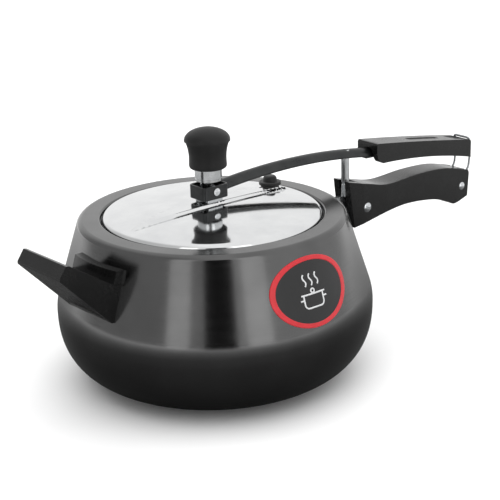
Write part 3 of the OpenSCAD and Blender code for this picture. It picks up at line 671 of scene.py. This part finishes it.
def make_body_handle():
    ear_w, ear_len = 18, 15
    wedge_w = 12
    tall = 2 * RIM
    grip = plate("body_grip", grip_outline(), GRIP_W)
    slope = math.degrees(math.atan((GRIP_W - ear_w) / 2 / ear_len))
    for side in (-1, 1):
        wedge = block((-3 * ear_len, min(0, wedge_w * side), 0), (0, max(0, wedge_w * side), tall))
        combine(grip, shift(wedge, GRIP_X + ear_len, side * GRIP_W / 2, 0, (0, 0, side * slope)))
    # slots for the fulcrum post, for the bracket's tongue and for the loop's two legs
    front = GRIP_X - 10
    half_post, half_tongue, half_leg = 3.6, 2.1, 1.45
    post_floor, tongue_low, tongue_high, tongue_end = RIM - 18.8, RIM - 36.5, RIM - 15.4, 168.5
    combine(grip, block((front, -half_post, post_floor), (GRIP_X + 14, half_post, tall)))
    combine(grip, block((front, -half_tongue, tongue_low), (tongue_end, half_tongue, tongue_high)))
    for side in (-1, 1):
        near, away = side * LOOP_LEG_Y - half_leg, side * LOOP_LEG_Y + half_leg
        combine(grip, block((PIN.x - 5, near, PIN.z - 9), (GRIP_END + 9, away, tall)))
        # the slot is open below at the end, where the loop's leg swings down
        combine(grip, block((PIN.x + 4.5, near, 0), (GRIP_END + 9, away, PIN.z)))
    soften(grip, 1.5, 4, 40)
    smooth(grip, 30)
    paint(grip, gloss_phenolic)
    done(grip, "pot", "black_phenolic", "body_handle")


def screw(name, centre, r, height, side, slotted=True):
    """A domed, slotted screw head against a handle's side."""
    ball = (r * r + height * height) / (2 * height)
    reach = math.asin(min(1, r / ball))
    turns = [reach * k / 8 for k in range(9)]
    dome = [(ball * math.sin(a), ball * math.cos(a) - ball + height) for a in turns]
    head = lathe(name, dome + [(r, -0.3), (0, -0.3)], 40)
    if slotted:
        combine(head, block((-r - 1, -0.45, height - 0.75), (r + 1, 0.45, height + 1)))
    soften(head, 0.12, 2, 40)
    smooth(head, 35)
    shift(head, turn=(90 if side < 0 else -90, 0, 0))
    shift(head, turn=(0, 28, 0))
    shift(head, centre.x, side * GRIP_W / 2, centre.z)
    return paint(head, zinc_steel)


def make_fasteners():
    done(screw("handle_screw_head", SCREW, 4, 1.4, -1), "pot", "steel", "handle_screw")
    for side, name in ((-1, "loop_pin_head_near"), (1, "loop_pin_head_far")):
        done(screw(name, PIN, 3.4, 1.4, side, slotted=False), "pot", "steel", "loop_pin")


def make_loop():
    wire_r, eye, bend_r = 0.9, 2.6, 3.2
    rise = 39.9
    route = [(4.5, 9), (10.5, 13.5), (11.9, 24), (11.9, 36.5), (9.6, rise)]

    def leg(side):
        """One leg from the pin upwards, and the eye round the pin at its foot."""
        return [[(PIN.x + x, side * LOOP_LEG_Y, PIN.z + z) for x, z in part]
                for part in (route, arc(0, 0, eye, -35, -325, 16))]

    near, near_ring = leg(-1)
    far, far_ring = leg(1)
    bend = near + list(reversed(far))
    middle = rounded([near_ring[-1]] + bend + [far_ring[-1]], bend_r, 6)[1:-1]
    loop = wire("wire_loop", near_ring + middle + list(reversed(far_ring)), wire_r, 5)
    smooth(loop, 60)
    paint(loop, wire_steel)
    done(loop, "loop", "steel", "locking_loop")


def make_helper():
    flange_low, flange_high = RIM - 45, RIM - 13
    end = HELPER_REACH
    side = [(95, -22), (107, -23.5), (end - 8, 0.7), (end - 5.5, 1.2), (end, -6.5), (end, -8.5),
            (113, -49), (100, -49)]
    inner_low = outer_wall(flange_low) + FLANGE_T
    inner_high = outer_wall(flange_high) + FLANGE_T
    hollow = [(inner_high + 3, 5), (end - 13, 5), (end - 13, -17), (inner_low + 1, -36)]
    arm = plate("helper_grip", [(x, RIM + z) for x, z in side], HELPER_W)
    ring = [(outer_wall(z) + t, z) for t, z in
            ((-WALL, flange_low), (FLANGE_T, flange_low), (FLANGE_T, flange_high), (-WALL, flange_high))]
    flange = lathe("flange", ring, 192, closed=True)
    combine(flange, block((0, -FLANGE_W / 2, 0), (300, FLANGE_W / 2, 300)), "INTERSECT")
    combine(arm, flange, "UNION")
    combine(arm, plate("hollow", [(x, RIM + z) for x, z in hollow], HELPER_W - 2 * HELPER_WALL))
    # the pot's own wall is cut away from the arm
    base, top = 20, RIM + 20
    core = [(0, base), (outer_wall(base), base), (outer_wall(top), top), (0, top)]
    combine(arm, lathe("core", core, 192))
    soften(arm, 1.5, 4, 30)
    smooth(arm, 30)
    shift(arm, turn=(0, 0, 180 + HELPER_TURN))
    paint(arm, gloss_phenolic)
    done(arm, "pot", "black_phenolic", "helper_handle")


# ---------- pieces on the lid ----------


def ridge_at(x, y):
    """How far the pressed ridge stands above the crown: a leaf shape with soft edges."""
    leaf_r = (RIDGE_LEN ** 2 + RIDGE_HALF ** 2) / (2 * RIDGE_HALF)
    if abs(x) >= RIDGE_LEN:
        return 0.0
    inside = math.sqrt(leaf_r ** 2 - x * x) - (leaf_r - RIDGE_HALF) - abs(y)
    flank = 1.6
    t = max(0.0, min(1.0, inside / flank))
    return RIDGE_H * t * t * (3 - 2 * t)


def make_lid():
    crown_z = LID_TOP - CROWN_R
    edge_x = LID_R - LID_ROUND
    edge_z = crown_z + math.sqrt((CROWN_R - LID_ROUND) ** 2 - edge_x ** 2)
    reach = math.degrees(math.asin(edge_x / (CROWN_R - LID_ROUND)))
    seat = RIM - WALL - SEAT_GAP - GASKET_T
    lip_r = LID_R + SIDE_GAP + GASKET_W + SIDE_GAP + LIP_T

    def crown(r, n):
        turns = [math.radians(reach * k / n) for k in range(n + 1)]
        return [(r * math.sin(a), crown_z + r * math.cos(a)) for a in turns]

    outside = crown(CROWN_R, 84) + arc(edge_x, edge_z, LID_ROUND, 90 - reach, 0, 8)[1:]
    inside = arc(edge_x, edge_z, LID_ROUND - LID_T, 0, 90 - reach, 5)
    inside += list(reversed(crown(CROWN_R - LID_T, 10)))
    shoulder, brim = seat + 2.3, seat + 2.9
    lip = [(LID_R, seat), (lip_r - LIP_T, seat), (lip_r - LIP_T, shoulder), (lip_r - LIP_T / 2, brim),
           (lip_r, shoulder), (lip_r, seat - LID_T), (LID_R - LID_T, seat - LID_T)]
    lid = lathe("lid_shell", outside + lip + inside, 320)
    # the ridge is pressed up out of the crown, which no spin can give
    for vertex in lid.data.vertices:
        x, y, z = vertex.co / MM
        if math.hypot(x, y) < edge_x and z > crown_z + math.sqrt(CROWN_R ** 2 - x * x - y * y) - 0.5:
            vertex.co.z += ridge_at(x, y) * MM
    smooth(lid, 50)
    paint(lid, mirror_steel)
    done(lid, "lid", "polished_steel", "lid")


def make_valve():
    cap_h, flange, edge = 7.56, 3.0, 0.8
    base = VALVE_HIGH.z - cap_h
    r = VALVE_R
    outline = [(0, base), (r - 1, base), (r, base + edge)]
    outline += arc(r - edge, base + flange - edge, edge, 0, 90, 5)
    outline += [(r * 0.74, base + flange)] + arc(r * 0.68, base + flange + 0.5, 0.5, 250, 180, 3)
    outline += [(r * 0.62, base + 5.2)] + arc(r * 0.30, base + 4.9, r * 0.32, 20, 90, 7)
    outline += [(0, base + 7.6)]
    valve = lathe("valve_cap", outline, 64)
    shift(valve, VALVE.x, VALVE.y, 0)
    smooth(valve, 45)
    paint(valve, rubber)
    done(valve, "lid", "black_rubber", "safety_valve")


def make_vent():
    bore_r, tube_r, nozzle_r = 1.2, 5, 3.4
    foot, top = low("vent_tube").z, high("vent_tube").z
    nozzle = top - 6
    outline = [(bore_r, foot), (tube_r, foot), (tube_r, foot + 8), (tube_r, nozzle - 0.4), (4.6, nozzle),
               (nozzle_r, nozzle), (nozzle_r, top - 0.5), (2.9, top), (bore_r, top)]
    vent = shift(lathe("vent_pipe", outline, 48, closed=True), VENT_X)
    smooth(vent, 30)
    paint(vent, turned_steel)
    done(vent, "lid", "steel", "vent_tube")


# ---------- bar and upper handle ----------


def bar_channel():
    """The arched bar: a channel with a round top, spun along the crown's arc."""
    r = BAR_W / 2
    inner = r - SHEET
    start = high("lid_bar").x
    bar_front = VENT_X + YOKE_LEN / 2 - SHEET / 2
    end = start - 0.5
    section = [(-BAR_H, -r)] + arc(-r, 0, r, -90, 90, 20) + [(-BAR_H, r), (-BAR_H, inner)]
    section += arc(-r, 0, inner, 90, -90, 16) + [(-BAR_H, -inner)]
    a0 = math.asin((bar_front - ARCH_X) / ARCH_R)
    a1 = math.asin((end - ARCH_X) / ARCH_R)
    centre = Vector((ARCH_X, 0, ARCH_TOP - ARCH_R))
    fill([(ARCH_X + (ARCH_R + up) * math.sin(a0), across, centre.z + (ARCH_R + up) * math.cos(a0))
          for up, across in section])
    bpy.ops.mesh.spin(steps=48, angle=a0 - a1, center=centre * MM, axis=(0, 1, 0))
    clean()
    return soften(settle("bar_channel"), 0.3, 2, 60)


def bar_yoke():
    """The bar's inner end: a rounded frame round the vent, folded from the same sheet."""
    x0, x1, y1 = VENT_X - YOKE_LEN / 2, VENT_X + YOKE_LEN / 2, YOKE_W / 2
    turn = 3.2
    corners = (arc(x1 - turn, y1 - turn, turn, 0, 90, 6) + arc(x0 + turn, y1 - turn, turn, 90, 180, 6)
               + arc(x0 + turn, -y1 + turn, turn, 180, 270, 6)
               + arc(x1 - turn, -y1 + turn, turn, 270, 360, 6))
    fill([(x, y, YOKE_LOW) for x, y in corners])
    bpy.ops.mesh.inset(thickness=SHEET * MM, depth=0)
    bpy.ops.mesh.delete(type="FACE")
    bpy.ops.mesh.select_all(action="SELECT")
    bpy.ops.mesh.extrude_region_move(TRANSFORM_OT_translate={"value": (0, 0, YOKE_H * MM)})
    clean()
    return soften(settle("yoke"), 0.45, 3, 50)


def make_bar():
    bar = bar_channel()
    both = join("lid_bar_sheet", bar, bar_yoke())
    smooth(both, 40)
    paint(both, satin_steel)
    done(both, "lever", "dark_steel", "lid_bar")


def upper_top(x):
    """Height of the upper handle's top at a distance from the axis."""
    return RIM + 23.6 - 0.13 * (x - UPPER_X) - 0.00022 * (x - UPPER_X) ** 2


def upper_low(x):
    """Height of its underside there."""
    return RIM + 6.4 - 0.03 * (x - UPPER_X - 6) - 0.00108 * (x - UPPER_X - 6) ** 2


def make_upper_handle():
    end_round, front_round, chin_len = 2.2, 1.6, 7
    roof_t, side_t, bar_gap = 3, 2.8, 0.6
    x0, x1 = UPPER_X, HANDLE_END
    step = [k / 16 for k in range(17)]
    top = [(x, upper_top(x)) for x in
           (x0 + front_round + (x1 - end_round - x0 - front_round) * t for t in step)]
    nose = arc(x1 - end_round, upper_top(x1 - end_round) - end_round - 0.1, end_round, 82, 0, 5)
    under = [(x, upper_low(x)) for x in (x1 - (x1 - x0 - chin_len) * t for t in step)]
    chin_z = upper_low(x0 + chin_len)
    chin = spline([(x0 + chin_len, chin_z), (x0 + 3.2, chin_z + 1.8), (x0 + 0.9, chin_z + 5),
                   (x0, chin_z + 9)], 4)[1:]
    front = [(x0, upper_top(x0) - front_round), (x0 + 0.5, upper_top(x0) - 0.5)]
    handle = plate("upper_grip", top + nose + under + chin + front, UPPER_W)
    front_t, end_t, below = 4, 3, RIM - 30
    roof = [(x, upper_top(x) - roof_t) for x in
            (x0 + front_t + (x1 - end_t - x0 - front_t) * t for t in step)]
    combine(handle, plate("channel", roof + [(x1 - end_t, below), (x0 + front_t, below)],
                          UPPER_W - 2 * side_t))
    # the bar's way in through the front wall
    arch_z = crown_at(x0) - BAR_W / 2
    reach, half = 7, BAR_W / 2 + bar_gap
    combine(handle, rod((x0, 0, arch_z), half, 2 * reach, "X", 48))
    combine(handle, block((x0 - reach, -half, RIM - 6), (x0 + reach, half, arch_z)))
    # the long hollow in the top, and the seat that the loop drops into
    hollow_slope, seat_slope = 0.155, 0.175
    tilt = math.degrees(math.atan(hollow_slope))
    middle = x0 + 62.5
    slot = block((-18.5, -3.6, -1.3), (18.5, 3.6, 12))
    soften(slot, 2.4, 4, 60)
    combine(handle, shift(slot, middle, 0, upper_top(middle), (0, tilt, 0)))
    seat_x = x1 - 10
    seat = block((-6.5, -6.4, -0.9), (6.5, 6.4, 12))
    soften(seat, 1.2, 3, 60)
    tilt = math.degrees(math.atan(seat_slope))
    combine(handle, shift(seat, seat_x, 0, upper_top(seat_x), (0, tilt, 0)))
    soften(handle, 1.3, 4, 40)
    smooth(handle, 30)
    paint(handle, gloss_phenolic)
    done(handle, "lever", "black_phenolic", "upper_handle")


def make_post():
    top = crown_at(POST_X) - 0.6
    foot = low("fulcrum_post").z + POST_R
    neck_r, edge = POST_R - 0.35, 0.3
    outline = arc(0, foot, POST_R, -90, 0, 10)
    outline += [(POST_R, foot + 9), (neck_r, foot + 9.5), (neck_r, foot + 10.6), (POST_R, foot + 11.1)]
    outline += [(POST_R, top - edge), (POST_R - edge, top), (0, top)]
    post = lathe("fulcrum_pin", outline, 48)
    shift(post, POST_X)
    smooth(post, 30)
    paint(post, turned_steel)
    done(post, "lever", "steel", "fulcrum_post")


# ---------- regulator ----------


def make_regulator():
    r, top = COLLAR_R, KNOB_Z + 0.6
    edge, groove_r = 0.7, r - 0.25
    collar = [(COLLAR_BORE, COLLAR_Z), (r - edge, COLLAR_Z), (r, COLLAR_Z + edge), (r, COLLAR_Z + 2.2),
              (groove_r, COLLAR_Z + 2.35), (groove_r, COLLAR_Z + 2.65), (r, COLLAR_Z + 2.8),
              (r, top - 0.5), (r - 0.3, top), (COLLAR_BORE, top)]
    weight = shift(lathe("weight_collar", collar, 96, closed=True), VENT_X)
    smooth(weight, 30)
    paint(weight, turned_steel)
    done(weight, "regulator", "steel", "regulator_weight")

    low_r, edge, dome_h = 13.9, 2.2, 9
    widest = KNOB_TOP - dome_h
    side = spline([(low_r, KNOB_Z + edge), (low_r - 0.15, KNOB_Z + 9), (low_r + 0.6, KNOB_Z + 15),
                   (low_r + 2.2, KNOB_Z + 20), (KNOB_R, widest - 0.6)], 7)
    dome = [(KNOB_R * math.sin(a), widest + dome_h * math.cos(a)) for a in
            (math.radians(90 - 90 * k / 14) for k in range(15))]
    under = [(0, KNOB_Z), (6, KNOB_Z), (low_r - edge, KNOB_Z)]
    foot = arc(low_r - edge, KNOB_Z + edge, edge, -80, -10, 5)
    knob = shift(lathe("regulator_grip", under + foot + side + dome, 112), VENT_X)
    smooth(knob, 45)
    paint(knob, matte_phenolic)
    done(knob, "regulator", "matte_phenolic", "regulator_knob")


make_pot()
make_badge()
make_body_handle()
make_fasteners()
make_loop()
make_helper()
make_lid()
make_valve()
make_vent()
make_bar()
make_upper_handle()
make_post()
make_regulator()

# Flat fittings keep their CAD shape, with joined faces and eased edges
for fitting, body, finish, edge in (
        ("handle_bracket", "pot", brushed_steel, 0.3), ("handle_rivets", "pot", zinc_steel, 0.2),
        ("helper_bracket", "pot", brushed_steel, 0.0), ("helper_rivets", "pot", zinc_steel, 0.2),
        ("lid_bracket", "lid", brushed_steel, 0.0), ("bar_pivot_pins", "lid", zinc_steel, 0.0)):
    piece = merged(fitting, edge)
    paint(piece, finish)
    done(piece, body, "steel", fitting)

# Pieces that nothing outside shows stay as CAD nodes, with their own finish
for hidden, finish in (
        ("handle_screw_nut", zinc_steel), ("helper_screw", zinc_steel), ("lid_gasket", seal_rubber),
        ("vent_nut", zinc_steel), ("upper_handle_screw", zinc_steel), ("regulator_clip", zinc_steel),
        ("fusible_plug", cast_alloy), ("safety_valve_seal", rubber), ("safety_valve_nut", zinc_steel)):
    paint(frame["nodes"][hidden], finish)


# ---------- floor, light and camera ----------


def make_stage():
    put_down()
    bpy.ops.mesh.primitive_plane_add(size=12, location=(0, 0, -0.0003))
    floor = settle("floor")
    white = surface("matt_white_sweep", "#f2f2f2", "#f6f6f6", (0.7, 0.85), 4.0, 0.02, mottle=220)
    paint(floor, white)

    # a white studio, dimmer on the left where its wall is grey
    world = bpy.data.worlds.new("studio")
    bpy.context.scene.world = world
    world.use_nodes = True
    tree = world.node_tree
    sky = tree.nodes["Background"]
    sky.inputs["Color"].default_value = linear("#ffffff")
    towards = add(tree, "ShaderNodeTexCoord", {}).outputs["Generated"]
    left = add(tree, "ShaderNodeVectorMath", {0: towards, 1: (-0.94, 0.34, 0)}, operation="DOT_PRODUCT")
    wall = add(tree, "ShaderNodeMapRange", {"Value": left.outputs["Value"], "From Min": 0.2,
                                            "From Max": 0.6, "To Min": 1.0, "To Max": 0.6})
    seen = add(tree, "ShaderNodeLightPath", {}).outputs["Is Camera Ray"]
    glow = add(tree, "ShaderNodeMath", {0: wall.outputs["Result"], 1: seen}, operation="MAXIMUM")
    tree.links.new(glow.outputs["Value"], sky.inputs["Strength"])

    def softbox(name, azimuth, reach, height, width, tall, power):
        """A softbox aimed at the pot. Azimuth 0 stands on the -Y side, and plus turns it towards +X."""
        turn = math.radians(azimuth)
        place = Vector((reach * math.sin(turn), -reach * math.cos(turn), height))
        light = bpy.data.lights.new(name, "AREA")
        light.shape = "RECTANGLE"
        light.size, light.size_y, light.energy = width, tall, power
        lamp = bpy.data.objects.new(name, light)
        lamp.location = place
        lamp.rotation_euler = (Vector((0, 0, 0.1)) - place).to_track_quat("-Z", "Y").to_euler()
        bpy.context.scene.collection.objects.link(lamp)
        return lamp

    overhead = softbox("overhead", 0, 0.01, 2.4, 4.2, 4.2, 74)
    overhead.visible_glossy = False
    softbox("left", -64, 1.5, 0.6, 0.45, 1.4, 2.0)
    softbox("right", -8, 1.5, 0.6, 0.5, 1.4, 1.8)

    def reflected_only(name, shades, finish):
        """Makes the active shape a card that only mirrors see, and that shades the floor if asked."""
        card = settle(name)
        card.visible_camera = False
        card.visible_shadow = False
        card.visible_diffuse = shades
        paint(card, finish)

    # a black flag under the lens gives the shiny pot its one dark stripe
    facing = math.radians(-35)
    put_down()
    stand = (1.3 * math.sin(facing), -1.3 * math.cos(facing), 0.4)
    bpy.ops.mesh.primitive_plane_add(size=1, location=stand, rotation=(math.pi / 2, 0, facing))
    bpy.context.object.scale = (0.5, 1.3, 1)
    reflected_only("black_flag", True, black_cloth)
    # a disc of painted shade, dark under the pot and paler outwards, seen only in reflections in the pot's
    # underside
    put_down()
    bpy.ops.mesh.primitive_circle_add(vertices=96, radius=1.1, fill_type="NGON",
                                      location=(0, 0, -0.0001))
    reflected_only("painted_shade_disc", False, painted_shade_finish())


def make_camera():
    azimuth, elevation, roll = (math.radians(a) for a in (-39.403, 19.107, -1.497))
    place = Vector((-0.62795, -0.80695, 0.44771))
    back = Vector((math.sin(azimuth) * math.cos(elevation), -math.cos(azimuth) * math.cos(elevation),
                   math.sin(elevation)))
    level = Vector((math.cos(azimuth), math.sin(azimuth), 0))
    up = back.cross(level)
    right = math.cos(roll) * level + math.sin(roll) * up
    tall = -math.sin(roll) * level + math.cos(roll) * up
    lens = bpy.data.cameras.new("camera")
    lens.lens, lens.sensor_width = 104.72, 36
    lens.clip_start, lens.clip_end = 0.05, 30
    camera = bpy.data.objects.new("camera", lens)
    camera.matrix_world = Matrix.Translation(place) @ Matrix((right, tall, back)).transposed().to_4x4()
    bpy.context.scene.collection.objects.link(camera)
    bpy.context.scene.camera = camera
    bpy.context.scene.view_settings.view_transform = "Standard"


make_stage()
make_camera()
